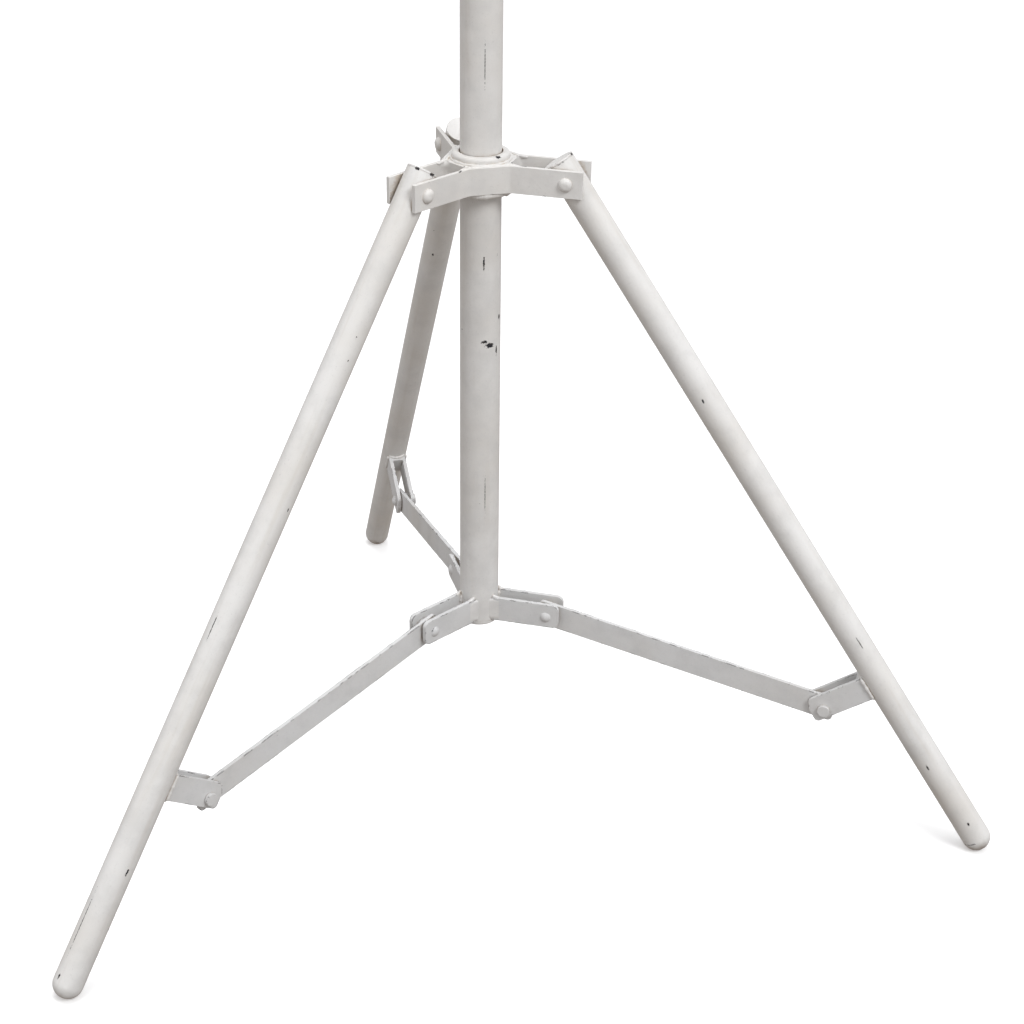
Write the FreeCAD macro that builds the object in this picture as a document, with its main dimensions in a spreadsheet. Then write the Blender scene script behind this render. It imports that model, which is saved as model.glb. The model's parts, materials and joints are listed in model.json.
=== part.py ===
"""Tripod floor lamp: a folding steel stand with a sliding column, a telescopic mast and a reflector head.

Frame: +Z up, origin on the floor under the column's axis, rear leg along +Y, head facing -Y.
The rest pose is the spread, standing lamp. Lengths are in millimetres, angles in degrees.
"""

import FreeCAD
import Part
import Sketcher
import os
import re
from math import atan2, cos, degrees, pi, radians, sin, sqrt

DOC = FreeCAD.newDocument("tripod_floor_lamp")
X_AXIS = FreeCAD.Vector(1, 0, 0)
Y_AXIS = FreeCAD.Vector(0, 1, 0)
Z_AXIS = FreeCAD.Vector(0, 0, 1)

# The driving dimensions: alias, value and what it measures.
DIMENSIONS = (
    ("column_radius", 19.0, "outer radius of the column tube"),
    ("column_wall", 2.0, "wall of the column tube"),
    ("column_bottom", 187.0, "height of the column tube's lower end"),
    ("column_top", 1030.0, "height of the column tube's upper end"),
    ("leg_radius", 14.0, "outer radius of a leg tube"),
    ("leg_wall", 2.0, "wall of a leg tube"),
    ("leg_top", 18.0, "leg tube above its hub pivot"),
    ("cap_height", 2.0, "disc that closes a leg's top"),
    ("foot_flat", 4.0, "radius of the flat worn on a foot's dome"),
    ("bar_width", 25.0, "width of the flat bar used for straps, plates and braces"),
    ("bar_thick", 4.0, "thickness of that flat bar"),
    ("hub_height", 648.0, "height of the three hub pivots"),
    ("hub_reach", 82.8, "hub pivot to column axis"),
    ("leg_tilt", 33.9, "leg from the vertical when spread"),
    ("folded_tilt", 4.0, "leg from the vertical when folded"),
    ("sleeve_radius", 26.5, "outer radius of the hub sleeve"),
    ("sleeve_round", 3.2, "rounding of the hub sleeve's two ends"),
    ("sleeve_play", 1.0, "radial play of the column in the hub sleeve"),
    ("sleeve_above", 19.0, "hub sleeve above the pivots"),
    ("sleeve_below", 17.5, "hub sleeve below the pivots"),
    ("web_reach", 31.0, "core face that looks along a leg, to the axis"),
    ("strap_reach", 28.0, "core face behind a strap, to the axis"),
    ("ear_offset", 14.5, "inner face of a hub ear to the leg's middle plane"),
    ("ear_reach", 98.0, "end of a hub ear to the column axis"),
    ("pin_radius", 4.0, "shank of every rivet and pin"),
    ("pin_play", 0.08, "radial play of a pin in its hole"),
    ("rivet_radius", 6.7, "head of a hub rivet"),
    ("rivet_rise", 4.4, "height of a hub rivet's dome"),
    ("bracket_down", 572.0, "bracket pivot below the hub pivot, along the leg"),
    ("bracket_in", 62.0, "bracket pivot to the leg's axis"),
    ("bracket_width", 19.0, "leg bracket over its two flanges"),
    ("bracket_upper", 16.0, "bracket flange above its pivot"),
    ("bracket_nose", 13.0, "bracket flange past its pivot"),
    ("bracket_chamfer", 5.0, "clipped upper corner of a flange"),
    ("head_radius", 6.0, "head of a bracket pin"),
    ("head_rise", 4.0, "height of a bracket pin's head"),
    ("clevis_height", 199.0, "height of the column foot's pivots"),
    ("clevis_reach", 71.0, "column foot pivot to the column axis"),
    ("clevis_gap", 15.0, "gap between the two plates of a clevis"),
    ("clevis_nose", 13.0, "clevis plate past its pivot"),
    ("clevis_rise", 1.5, "middle of a clevis plate above its pivot"),
    ("clevis_head", 5.4, "head of a clevis rivet"),
    ("clevis_head_rise", 2.6, "height of that head's dome"),
    ("plug_radius", 17.0, "plug in the column's lower end"),
    ("plug_depth", 14.0, "plug inside the column"),
    ("plug_drop", 4.0, "plug below the column's end"),
    ("plug_round", 2.5, "rounding of the plug's lower edge"),
    ("brace_offset", 2.5, "brace's middle to the leg's middle plane"),
    ("brace_end", 10.0, "brace past each of its pivots"),
    ("joint_play", 0.3, "side play between parts that turn on each other"),
    ("mast_radius", 12.5, "outer radius of the mast tube"),
    ("mast_wall", 1.5, "wall of the mast tube"),
    ("mast_bottom", 740.0, "height of the mast's lower end"),
    ("mast_top", 1400.0, "height of the mast's upper end"),
    ("mast_play", 0.1, "radial play of the mast and its bush"),
    ("bush_height", 24.0, "guide bush on the mast's lower end"),
    ("collar_radius", 25.0, "clamp collar on the column's upper end"),
    ("collar_grip", 30.0, "clamp collar over the column tube"),
    ("collar_above", 28.0, "clamp collar above the column tube"),
    ("boss_radius", 10.0, "screw boss of a collar"),
    ("boss_reach", 35.0, "end of the screw boss to the axis"),
    ("screw_radius", 4.0, "thread of a hand screw"),
    ("knob_radius", 16.0, "grip of a hand screw"),
    ("knob_height", 14.0, "thickness of that grip"),
    ("knob_scallop", 4.0, "radius of a scallop on the grip"),
    ("socket_radius", 18.0, "swivel socket on the mast's upper end"),
    ("socket_depth", 34.0, "swivel socket over the mast"),
    ("socket_roof", 6.0, "solid top of the swivel socket"),
    ("yoke_half", 66.0, "outer face of a yoke arm to the middle"),
    ("yoke_rise", 128.0, "tilt axis above the yoke's base"),
    ("yoke_end", 14.0, "yoke arm past the tilt axis"),
    ("housing_radius", 55.0, "outer radius of the lamp housing"),
    ("housing_wall", 1.5, "wall of the lamp housing"),
    ("housing_front", 66.0, "tilt axis to the housing's front"),
    ("housing_rear", 60.0, "tilt axis to the housing's rear"),
    ("reflector_radius", 120.0, "rim of the reflector"),
    ("reflector_depth", 122.0, "depth of the half ellipsoid that the reflector is spun to"),
    ("reflector_lap", 10.0, "housing inside the reflector"),
    ("reflector_wall", 1.5, "sheet of the reflector"),
    ("rim_bead", 4.0, "radius of the rolled rim"),
    ("slot_width", 5.0, "vent slot of the housing"),
    ("slot_length", 28.0, "length of that slot"),
    ("slot_margin", 12.0, "slot to the housing's rear end"),
    ("plate_wall", 2.0, "lampholder plate and rear cap"),
    ("cap_round", 1.5, "rounding of the rear cap's edge"),
    ("wire_hole_rise", 10.0, "wire hole of the lampholder plate above its middle"),
    ("holder_radius", 22.0, "outer radius of the lampholder"),
    ("holder_length", 50.0, "length of the lampholder"),
    ("holder_floor", 18.0, "solid rear end of the lampholder"),
    ("thread_radius", 13.2, "radius of the bulb's screw cap"),
    ("thread_length", 26.0, "length of that cap"),
    ("cap_proud", 4.0, "screw cap past the lampholder"),
    ("bulb_radius", 30.0, "globe of the bulb"),
    ("bulb_neck", 40.0, "screw cap to the middle of the globe"),
    ("neck_radius", 12.8, "bulb's neck at the screw cap"),
    ("shoulder_radius", 25.8, "bulb's neck where it meets the globe"),
    ("shoulder_rise", 24.8, "length of the bulb's neck"),
    ("switch_radius", 8.0, "body of the toggle switch"),
    ("switch_length", 16.0, "switch body behind the rear cap"),
    ("switch_drop", 28.0, "switch below the housing's axis"),
    ("lever_radius", 2.2, "toggle lever"),
    ("lever_length", 20.0, "toggle lever from its pivot"),
    ("lever_lean", 14.0, "lean of the lever to each side"),
    ("lever_play", 0.5, "lever's ball above the floor of the switch"),
    ("gland_radius", 9.0, "cable gland"),
    ("gland_length", 16.0, "length of the cable gland"),
    ("gland_bore", 4.0, "radius of the cable's hole"),
)

SLOT_COUNT = 12

# Each leg: name, direction of its azimuth, side on which its brace lies, side of the pin's flat head.
LEGS = (
    ("left", 210.0, 1, 1),
    ("right", 330.0, -1, -1),
    ("rear", 90.0, 1, -1),
)


def make_sheet():
    """The spreadsheet that holds every driving dimension."""
    sheet = DOC.addObject("Spreadsheet::Sheet", "dims")
    for row, (alias, value, note) in enumerate(DIMENSIONS, start=1):
        sheet.set("A%d" % row, note)
        sheet.set("B%d" % row, str(value))
        sheet.setAlias("B%d" % row, alias)
    DOC.recompute()
    return sheet


SHEET = make_sheet()
ALIASES = {alias for alias, value, note in DIMENSIONS}
NODES = []


def dim(alias):
    """A driving dimension as a plain number."""
    return float(SHEET.get(alias))


def bind(obj, **expressions):
    """Bind properties of an object to expressions; a bare alias is looked up in the sheet."""
    for name, expression in expressions.items():
        obj.setExpression(name, sheet_names(expression))
    return obj


def sheet_names(expression):
    """Put the sheet's name before each alias in an expression."""
    def named(word):
        return "dims." + word.group() if word.group() in ALIASES else word.group()

    return re.sub("[a-z_]+", named, expression)


def node(label, obj, placement=None):
    """Name a finished sub-part and put it in its place."""
    obj.Label = label
    if placement is not None:
        obj.Placement = placement
    NODES.append(obj)
    return obj


def spot(x=0.0, y=0.0, z=0.0, axis=Z_AXIS, angle=0.0):
    """A placement from a position and one turn."""
    return FreeCAD.Placement(FreeCAD.Vector(x, y, z), FreeCAD.Rotation(axis, angle))


def cylinder(radius, height, place=None):
    """A cylinder along its own Z whose sizes are expressions."""
    obj = DOC.addObject("Part::Cylinder", "cylinder")
    bind(obj, Radius=radius, Height=height)
    if place is not None:
        obj.Placement = place
    return obj


def box(length, width, height, place=None):
    """A block with one corner at its own origin."""
    obj = DOC.addObject("Part::Box", "box")
    bind(obj, Length=length, Width=width, Height=height)
    if place is not None:
        obj.Placement = place
    return obj


def cut(base, tool):
    obj = DOC.addObject("Part::Cut", "cut")
    obj.Base = base
    obj.Tool = tool
    return obj


def fuse(*shapes):
    obj = DOC.addObject("Part::MultiFuse", "fuse")
    obj.Shapes = list(shapes)
    return obj


def group(*shapes):
    """Separate solids that share one node."""
    obj = DOC.addObject("Part::Compound", "group")
    obj.Links = list(shapes)
    return obj


def dome(radius, rise, place):
    """A spherical cap on a base circle of the given radius, crown along its own +Z."""
    ball = "({0} * {0} + {1} * {1}) / (2 * {1})".format(radius, rise)
    obj = DOC.addObject("Part::Sphere", "dome")
    bind(obj, Radius=ball, Angle1="asin(1 - {1} / ({0}))".format(ball, rise))
    centre_height = (dim(rise) ** 2 - dim(radius) ** 2) / (2 * dim(rise))
    obj.Placement = place * spot(z=centre_height)
    return obj


def tube(radius, wall, height, place=None):
    """A round tube along its own Z."""
    return cut(
        cylinder(radius, height, place),
        cylinder("%s - %s" % (radius, wall), height, place),
    )


def new_body(name):
    return DOC.addObject("PartDesign::Body", name)


def new_sketch(body, plane):
    """A sketch on one of a body's own origin planes."""
    sketch = body.newObject("Sketcher::SketchObject", "sketch")
    for feature in body.Origin.OriginFeatures:
        if feature.Role == plane:
            sketch.AttachmentSupport = (feature, "")
    sketch.MapMode = "FlatFace"
    return sketch


def place_point(sketch, geometry, end, name, x, y):
    """Hold one point of a sketch at a pair of expressions."""
    for axis, value in (("X", x), ("Y", y)):
        index = sketch.addConstraint(
            Sketcher.Constraint("Distance" + axis, -1, 1, geometry, end, 1.0)
        )
        sketch.renameConstraint(index, name + axis)
        sketch.setExpression("Constraints." + name + axis, sheet_names(value))


def draw_outline(sketch, corners):
    """A closed outline through corners that are pairs of expressions.

    The lines start out as a regular polygon, and the constraints then pull its corners into place.
    """
    count = len(corners)
    points = [
        FreeCAD.Vector(10 * cos(2 * pi * k / count), 10 * sin(2 * pi * k / count), 0)
        for k in range(count)
    ]
    first = sketch.GeometryCount
    for k in range(count):
        sketch.addGeometry(Part.LineSegment(points[k], points[(k + 1) % count]), False)
    for k in range(count):
        sketch.addConstraint(
            Sketcher.Constraint("Coincident", first + k, 2, first + (k + 1) % count, 1)
        )
    for k, (x, y) in enumerate(corners):
        place_point(sketch, first + k, 1, "corner%d_" % (first + k), x, y)


def draw_circle(sketch, radius, x, y):
    """A circle whose centre and radius are expressions."""
    circle = Part.Circle(FreeCAD.Vector(1, 1, 0), Z_AXIS, 1.0)
    index = sketch.addGeometry(circle, False)
    name = "circle%d_" % index
    place_point(sketch, index, 3, name, x, y)
    sketch.renameConstraint(
        sketch.addConstraint(Sketcher.Constraint("Radius", index, 1.0)), name + "radius"
    )
    sketch.setExpression("Constraints." + name + "radius", sheet_names(radius))


def pad(body, sketch, length):
    """Pad a sketch evenly to both sides of its plane."""
    feature = body.newObject("PartDesign::Pad", "pad")
    feature.Profile = sketch
    feature.SideType = "Symmetric"
    bind(feature, Length=length)
    return feature


def pocket(body, sketch):
    """Cut a sketch right through the body, to both sides of its plane."""
    DOC.recompute()
    before = body.Tip.Shape.Volume
    feature = body.newObject("PartDesign::Pocket", "pocket")
    feature.Profile = sketch
    feature.SideType = "Symmetric"
    feature.Length = 1000.0
    DOC.recompute()
    if feature.Shape.Volume >= before - 1e-3:
        raise RuntimeError("a pocket cut nothing in " + body.Name)
    return feature


def round_edges(body, radius, direction, wanted):
    """Fillet the straight edges along a direction whose middle satisfies a test."""
    DOC.recompute()
    base = body.Tip
    chosen = []
    for index, edge in enumerate(base.Shape.Edges, start=1):
        if not isinstance(edge.Curve, Part.Line):
            continue
        if abs(edge.Curve.Direction.dot(direction)) > 0.999 and wanted(edge.CenterOfMass):
            chosen.append("Edge%d" % index)
    if not chosen:
        raise RuntimeError("no edge to round in " + body.Name)
    feature = body.newObject("PartDesign::Fillet", "rounding")
    feature.Base = (base, chosen)
    return bind(feature, Radius=radius)


def fillet_circle(base, circle_radius, height, radius):
    """Round the circular edge of the given radius at the given height of a Part object."""
    DOC.recompute()
    edges = []
    for index, edge in enumerate(base.Shape.Edges, start=1):
        curve = edge.Curve
        if isinstance(curve, Part.Circle) and abs(curve.Radius - circle_radius) < 1e-4:
            if abs(edge.BoundBox.ZMin - height) < 1e-4 and edge.BoundBox.ZLength < 1e-4:
                edges.append((index, radius, radius))
    if not edges:
        raise RuntimeError("no circle to round")
    obj = DOC.addObject("Part::Fillet", "fillet")
    obj.Base = base
    obj.Edges = edges
    return obj


def along_y(place=None):
    """Turn a piece's own Z onto +Y, at an optional place."""
    turn = spot(axis=X_AXIS, angle=-90)
    return turn if place is None else place * turn


def along_x(place=None):
    """Turn a piece's own Z onto +X, at an optional place."""
    turn = spot(axis=Y_AXIS, angle=90)
    return turn if place is None else place * turn


# Positions of the pivots in a leg's upright plane, as expressions of the driving dimensions.
PIN_HOLE = "pin_radius + pin_play"
FOOT_HEIGHT = "sqrt(leg_radius ^ 2 - foot_flat ^ 2)"
LEG_REACH = "(hub_height - " + FOOT_HEIGHT + ") / cos(leg_tilt)"
OUTER_REACH = "(hub_reach + bracket_down * sin(leg_tilt) - bracket_in * cos(leg_tilt))"
OUTER_HEIGHT = "(hub_height - bracket_down * cos(leg_tilt) - bracket_in * sin(leg_tilt))"
BRACE_LENGTH = "sqrt(({0} - clevis_reach) ^ 2 + (clevis_height - {1}) ^ 2)".format(
    OUTER_REACH, OUTER_HEIGHT
)


def foot_height():
    return sqrt(dim("leg_radius") ** 2 - dim("foot_flat") ** 2)


def leg_reach():
    """Hub pivot to the middle of the foot's dome, along the leg."""
    return (dim("hub_height") - foot_height()) / cos(radians(dim("leg_tilt")))


def brace_slope():
    """Fall of a brace from the column to its leg, in degrees."""
    tilt = radians(dim("leg_tilt"))
    reach = dim("hub_reach") + dim("bracket_down") * sin(tilt) - dim("bracket_in") * cos(tilt)
    height = dim("hub_height") - dim("bracket_down") * cos(tilt) - dim("bracket_in") * sin(tilt)
    return degrees(atan2(dim("clevis_height") - height, reach - dim("clevis_reach")))


def leg_place(azimuth):
    """The frame of a leg: origin at its hub pivot, +Z up along the tube, +X away from the column."""
    return (
        spot(angle=azimuth)
        * spot(x=dim("hub_reach"), z=dim("hub_height"))
        * spot(axis=Y_AXIS, angle=-dim("leg_tilt"))
    )


def clevis_place(azimuth):
    """The frame of a column foot pivot: +X away from the column, +Y across the clevis."""
    return spot(angle=azimuth) * spot(x=dim("clevis_reach"), z=dim("clevis_height"))


def hub_sleeve():
    height = "sleeve_above + sleeve_below"
    place = spot(z=dim("hub_height") - dim("sleeve_below"))
    sleeve = cut(
        cylinder("sleeve_radius", height, place),
        cylinder("column_radius + sleeve_play", height, place),
    )
    top = dim("hub_height") + dim("sleeve_above")
    bottom = dim("hub_height") - dim("sleeve_below")
    lip = fillet_circle(sleeve, dim("sleeve_radius"), top, dim("sleeve_round"))
    foot = fillet_circle(lip, dim("sleeve_radius"), bottom, dim("sleeve_round"))
    node("hub_sleeve", foot)


def three_sided(reach, angle):
    """A three-sided prism of a bar's width, with its sides at a given distance from the axis."""
    prism = DOC.addObject("Part::Prism", "prism")
    prism.Polygon = 3
    bind(prism, Circumradius="2 * " + reach, Height="bar_width")
    prism.Placement = spot(z=dim("hub_height") - dim("bar_width") / 2, angle=angle)
    return prism


def hub_core():
    """Six-sided block between the sleeve and the straps."""
    block = DOC.addObject("Part::Common", "block")
    block.Base = three_sided("web_reach", 30)
    block.Tool = three_sided("strap_reach", -30)
    bore = cylinder("sleeve_radius", "2 * bar_width", spot(z=dim("hub_height") - dim("bar_width")))
    node("hub_core", cut(block, bore))


def hub_strap(name, azimuth):
    """Flat bar bent round the core, whose two ends are ears beside the legs."""
    inner_half = "(strap_reach * sin(60) - ear_offset) / cos(60)"
    outer_half = "((strap_reach + bar_thick) * sin(60) - ear_offset - bar_thick) / cos(60)"
    end_x = "ear_reach * cos(60) + {0} * sin(60)"
    end_y = "(ear_reach * sin(60) - {0} * cos(60))"
    inner, outer = "ear_offset", "(ear_offset + bar_thick)"
    half = (
        (end_x.format(inner), end_y.format(inner)),
        ("strap_reach", inner_half),
        ("strap_reach + bar_thick", outer_half),
        (end_x.format(outer), end_y.format(outer)),
    )
    corners = [half[0], half[1]]
    corners += [(half[k][0], "- " + half[k][1]) for k in (1, 0, 3)]
    corners += [(half[2][0], "- (" + half[2][1] + ")"), half[2], half[3]]
    body = new_body("strap")
    sketch = new_sketch(body, "XY_Plane")
    draw_outline(sketch, corners)
    pad(body, sketch, "bar_width")
    bend_x = dim("strap_reach") + dim("bar_thick")
    round_edges(body, "1.5 * bar_thick", Z_AXIS, lambda middle: abs(middle.x - bend_x) < 1e-3)
    strap = body
    for side in (-60, 60):
        hole = spot(angle=side) * spot(x=dim("hub_reach"), y=-dim("ear_reach"))
        strap = cut(strap, cylinder(PIN_HOLE, "2 * ear_reach", along_y(hole)))
    node("hub_strap_" + name, strap, spot(z=dim("hub_height"), angle=azimuth))


def double_headed(half_length, near_head, far_head, place):
    """A pin across +Y with a head at each end; each head is made by a function of its place."""
    length = dim_sum(half_length)
    shank = cylinder("pin_radius", "2 * (%s)" % half_length, along_y(place * spot(y=-length)))
    near = near_head(place * spot(y=length) * spot(axis=X_AXIS, angle=-90))
    far = far_head(place * spot(y=-length) * spot(axis=X_AXIS, angle=90))
    return fuse(shank, near, far)


def dim_sum(expression):
    """Value of a plain sum of aliases, each with an optional factor."""
    total = 0.0
    for term in expression.split(" + "):
        factors = [float(f) if f[0].isdigit() else dim(f) for f in term.split(" * ")]
        product = 1.0
        for factor in factors:
            product *= factor
        total += product
    return total


def hub_rivet(name, azimuth):
    def head(place):
        return dome("rivet_radius", "rivet_rise", place)

    place = spot(angle=azimuth) * spot(x=dim("hub_reach"), z=dim("hub_height"))
    node("hub_rivet_" + name, double_headed("ear_offset + bar_thick", head, head, place))


def leg_tube(name, azimuth):
    length = LEG_REACH + " + leg_top"
    wall = tube("leg_radius", "leg_wall", length, spot(z=-leg_reach()))
    hole = cylinder(PIN_HOLE, "4 * leg_radius", along_y(spot(y=-2 * dim("leg_radius"))))
    node("leg_tube_" + name, cut(wall, hole), leg_place(azimuth))


def leg_cap(name, azimuth):
    """Disc that closes the square-cut top of a leg, with a spigot inside the tube."""
    disc = cylinder("leg_radius", "cap_height", spot(z=dim("leg_top")))
    spigot_height = 3 * dim("cap_height")
    spigot = cylinder(
        "leg_radius - leg_wall", "3 * cap_height", spot(z=dim("leg_top") - spigot_height)
    )
    node("leg_cap_" + name, fuse(disc, spigot), leg_place(azimuth))


def leg_foot(name, azimuth):
    """Dome on the lower end of a leg, worn flat where it stands."""
    ball = DOC.addObject("Part::Sphere", "ball")
    bind(ball, Radius="leg_radius")
    ball.Angle2 = 0
    side = 4 * dim("leg_radius")
    upright = spot(axis=Y_AXIS, angle=dim("leg_tilt"))
    floor = box(
        "4 * leg_radius", "4 * leg_radius", "4 * leg_radius",
        upright * spot(x=-side / 2, y=-side / 2, z=-foot_height() - side),
    )
    spigot = cylinder("leg_radius - leg_wall", "leg_radius")
    foot = fuse(cut(ball, floor), spigot)
    node("leg_foot_" + name, foot, leg_place(azimuth) * spot(z=-leg_reach()))


def leg_bracket(name, azimuth):
    """Bar folded to a U, its web saddled on the tube and its flanges reaching inward."""
    nose = "- bracket_in - bracket_nose"
    lower = "bracket_upper - bar_width"
    body = new_body("bracket")
    sketch = new_sketch(body, "XZ_Plane")
    draw_outline(sketch, (
        ("- leg_radius / 2", "bracket_upper"),
        (nose + " + bracket_chamfer", "bracket_upper"),
        (nose, "bracket_upper - 2 * bracket_chamfer"),
        (nose, lower),
        ("- leg_radius / 2", lower),
    ))
    pad(body, sketch, "bracket_width")
    round_edges(body, "bar_thick", Y_AXIS, lambda middle: middle.x < -dim("bracket_in"))
    half_gap = "(bracket_width / 2 - bar_thick)"
    gap = new_sketch(body, "XY_Plane")
    draw_outline(gap, (
        ("- leg_radius - bar_thick", half_gap),
        (nose + " - bar_thick", half_gap),
        (nose + " - bar_thick", "- " + half_gap),
        ("- leg_radius - bar_thick", "- " + half_gap),
    ))
    pocket(body, gap)
    hole = new_sketch(body, "XZ_Plane")
    draw_circle(hole, PIN_HOLE, "- bracket_in", "0")
    pocket(body, hole)
    saddle = cylinder("leg_radius", "4 * bar_width", spot(z=-2 * dim("bar_width")))
    place = leg_place(azimuth) * spot(z=-dim("bracket_down"))
    node("leg_bracket_" + name, cut(body, saddle), place)


def bracket_pin(name, azimuth, flat_side):
    """Pin through the bracket, flat-ended on one side and domed on the other."""
    def flat_head(place):
        return cylinder("head_radius", "head_rise", place)

    def dome_head(place):
        return dome("head_radius", "head_rise", place)

    heads = (flat_head, dome_head) if flat_side > 0 else (dome_head, flat_head)
    place = leg_place(azimuth) * spot(x=-dim("bracket_in"), z=-dim("bracket_down"))
    node("bracket_pin_" + name, double_headed("0.5 * bracket_width", *heads, place))


def pin_washers(name, azimuth, side):
    """Two spacers on the bracket pin that hold the brace to one side of the gap."""
    half_gap = dim("bracket_width") / 2 - dim("bar_thick")
    place = leg_place(azimuth) * spot(x=-dim("bracket_in"), z=-dim("bracket_down"))
    free_width = "bracket_width / 2 - 1.5 * bar_thick - joint_play"
    rings = []
    for face, thickness in (
        (side, free_width + " - brace_offset"),
        (-side, free_width + " + brace_offset"),
    ):
        seat = place * spot(y=face * half_gap) * spot(axis=X_AXIS, angle=90 * face)
        rings.append(cut(
            cylinder("2 * pin_radius", thickness, seat), cylinder(PIN_HOLE, thickness, seat)
        ))
    node("pin_washers_" + name, group(*rings))


def brace(name, azimuth, side):
    """Flat bar from the column foot to the leg bracket, +X from its inner to its outer pivot."""
    body = new_body("bar")
    sketch = new_sketch(body, "XZ_Plane")
    outer_end = BRACE_LENGTH + " + brace_end"
    draw_outline(sketch, (
        ("- brace_end", "bar_width / 2"),
        (outer_end, "bar_width / 2"),
        (outer_end, "- bar_width / 2"),
        ("- brace_end", "- bar_width / 2"),
    ))
    pad(body, sketch, "bar_thick")
    round_edges(body, "bar_thick", Y_AXIS, lambda middle: True)
    holes = new_sketch(body, "XZ_Plane")
    draw_circle(holes, PIN_HOLE, "0", "0")
    draw_circle(holes, PIN_HOLE, BRACE_LENGTH, "0")
    pocket(body, holes)
    tilt = spot(axis=Y_AXIS, angle=brace_slope())
    offset = spot(y=side * dim("brace_offset"))
    node("brace_" + name, body, clevis_place(azimuth) * offset * tilt)


def brace_spool(name, azimuth, side):
    """Shank of the brace's inner pivot, with the collar that fills the clevis beside the brace."""
    half = "(clevis_gap / 2 - joint_play)"
    length = dim("clevis_gap") / 2 - dim("joint_play")
    place = clevis_place(azimuth)
    shank = cylinder("pin_radius", "2 * " + half, along_y(place * spot(y=-length)))
    seat = place * spot(y=-side * length) * spot(axis=X_AXIS, angle=-90 * side)
    reach = half + " + brace_offset - bar_thick / 2"
    collar = cylinder("1.7 * pin_radius", reach, seat)
    node("brace_spool_" + name, fuse(shank, collar))


def clevis_plates(name, azimuth):
    """Two plates welded beside each other to the column's foot."""
    plates = []
    for side in (1, -1):
        body = new_body("plate")
        sketch = new_sketch(body, "XZ_Plane")
        inner = "- clevis_reach + column_radius / 2"
        draw_outline(sketch, (
            (inner, "clevis_rise + bar_width / 2"),
            ("clevis_nose", "clevis_rise + bar_width / 2"),
            ("clevis_nose", "clevis_rise - bar_width / 2"),
            (inner, "clevis_rise - bar_width / 2"),
        ))
        pad(body, sketch, "bar_thick")
        round_edges(body, "1.6 * bar_thick", Y_AXIS, lambda middle: middle.x > 0)
        hole = new_sketch(body, "XZ_Plane")
        draw_circle(hole, PIN_HOLE, "0", "0")
        pocket(body, hole)
        offset = side * (dim("clevis_gap") + dim("bar_thick")) / 2
        body.Placement = clevis_place(azimuth) * spot(y=offset)
        middle = spot(z=dim("clevis_height") - 2 * dim("bar_width"))
        column = cylinder("column_radius", "4 * bar_width", middle)
        plates.append(cut(body, column))
    node("clevis_" + name, group(*plates))


def clevis_rivet(name, azimuth):
    """The clevis rivet's two ends, parted between the plates: heads outside, stubs in the holes."""
    ends = []
    for face in (1, -1):
        seat = clevis_place(azimuth) * spot(y=face * dim("clevis_gap") / 2)
        outward = seat * spot(axis=X_AXIS, angle=-90 * face)
        stub = cylinder("pin_radius", "bar_thick", outward)
        crown = outward * spot(z=dim("bar_thick"))
        ends.append(fuse(stub, dome("clevis_head", "clevis_head_rise", crown)))
    node("clevis_rivet_" + name, group(*ends))


def column_parts():
    height = "column_top - column_bottom"
    node("column_tube", tube("column_radius", "column_wall", height), spot(z=dim("column_bottom")))
    flange = cylinder("column_radius", "plug_drop", spot(z=-dim("plug_drop")))
    rounded = fillet_circle(flange, dim("column_radius"), -dim("plug_drop"), dim("plug_round"))
    plug = fuse(rounded, cylinder("plug_radius", "plug_depth"))
    node("column_plug", plug, spot(z=dim("column_bottom")))


def scalloped_grip(place):
    """Round grip with eight scallops, standing on its own origin along +Z."""
    body = new_body("grip")
    disc = new_sketch(body, "XY_Plane")
    draw_circle(disc, "knob_radius", "0", "0")
    pad(body, disc, "knob_height")
    DOC.recompute()
    scallop = new_sketch(body, "XY_Plane")
    draw_circle(scallop, "knob_scallop", "knob_radius + knob_scallop / 2", "0")
    first = pocket(body, scallop)
    pattern = body.newObject("PartDesign::PolarPattern", "pattern")
    pattern.Originals = [first]
    pattern.Axis = (disc, ["N_Axis"])
    pattern.Angle = 360
    pattern.Occurrences = 8
    body.Tip = pattern
    body.Placement = place * spot(z=dim("knob_height") / 2)
    return body


def hand_screw(label, start, grip, place):
    """Screw along +Z with its tip at start and the underside of its scalloped grip at grip."""
    shank = DOC.addObject("Part::Cylinder", "shank")
    bind(shank, Radius="screw_radius")
    shank.Height = grip - start
    shank.Placement = place * spot(z=start)
    shoulder = cylinder("2 * screw_radius", "screw_radius", place * spot(z=grip - dim("screw_radius")))
    node(label, fuse(shank, shoulder, scalloped_grip(place * spot(z=grip))))


def bossed_collar(radius, height, bore, base, boss_height):
    """Upright collar with a screw boss on its +X side, bored for the mast; base is its height."""
    body = cylinder(radius, height, spot(z=base))
    boss = cylinder("boss_radius", "boss_reach", along_x(spot(z=boss_height)))
    solid = fuse(body, boss)
    hole = cylinder("screw_radius + pin_play", "2 * boss_reach", along_x(spot(z=boss_height)))
    return cut(cut(solid, bore), hole)


def clamp_collar():
    """Collar on the column's upper end that grips the mast with a hand screw."""
    base = dim("column_top") - dim("collar_grip")
    screw_height = dim("column_top") + dim("collar_above") / 2
    mast_bore = cylinder("mast_radius + mast_play", "2 * collar_grip + collar_above", spot(z=base))
    column_bore = cylinder("column_radius", "collar_grip", spot(z=base))
    collar = bossed_collar(
        "collar_radius", "collar_grip + collar_above", fuse(mast_bore, column_bore), base,
        screw_height,
    )
    node("clamp_collar", collar)
    tip = dim("mast_radius") + dim("joint_play")
    grip = dim("boss_reach") + 1.5 * dim("screw_radius")
    hand_screw("clamp_screw", tip, grip, along_x(spot(z=screw_height)))


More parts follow.
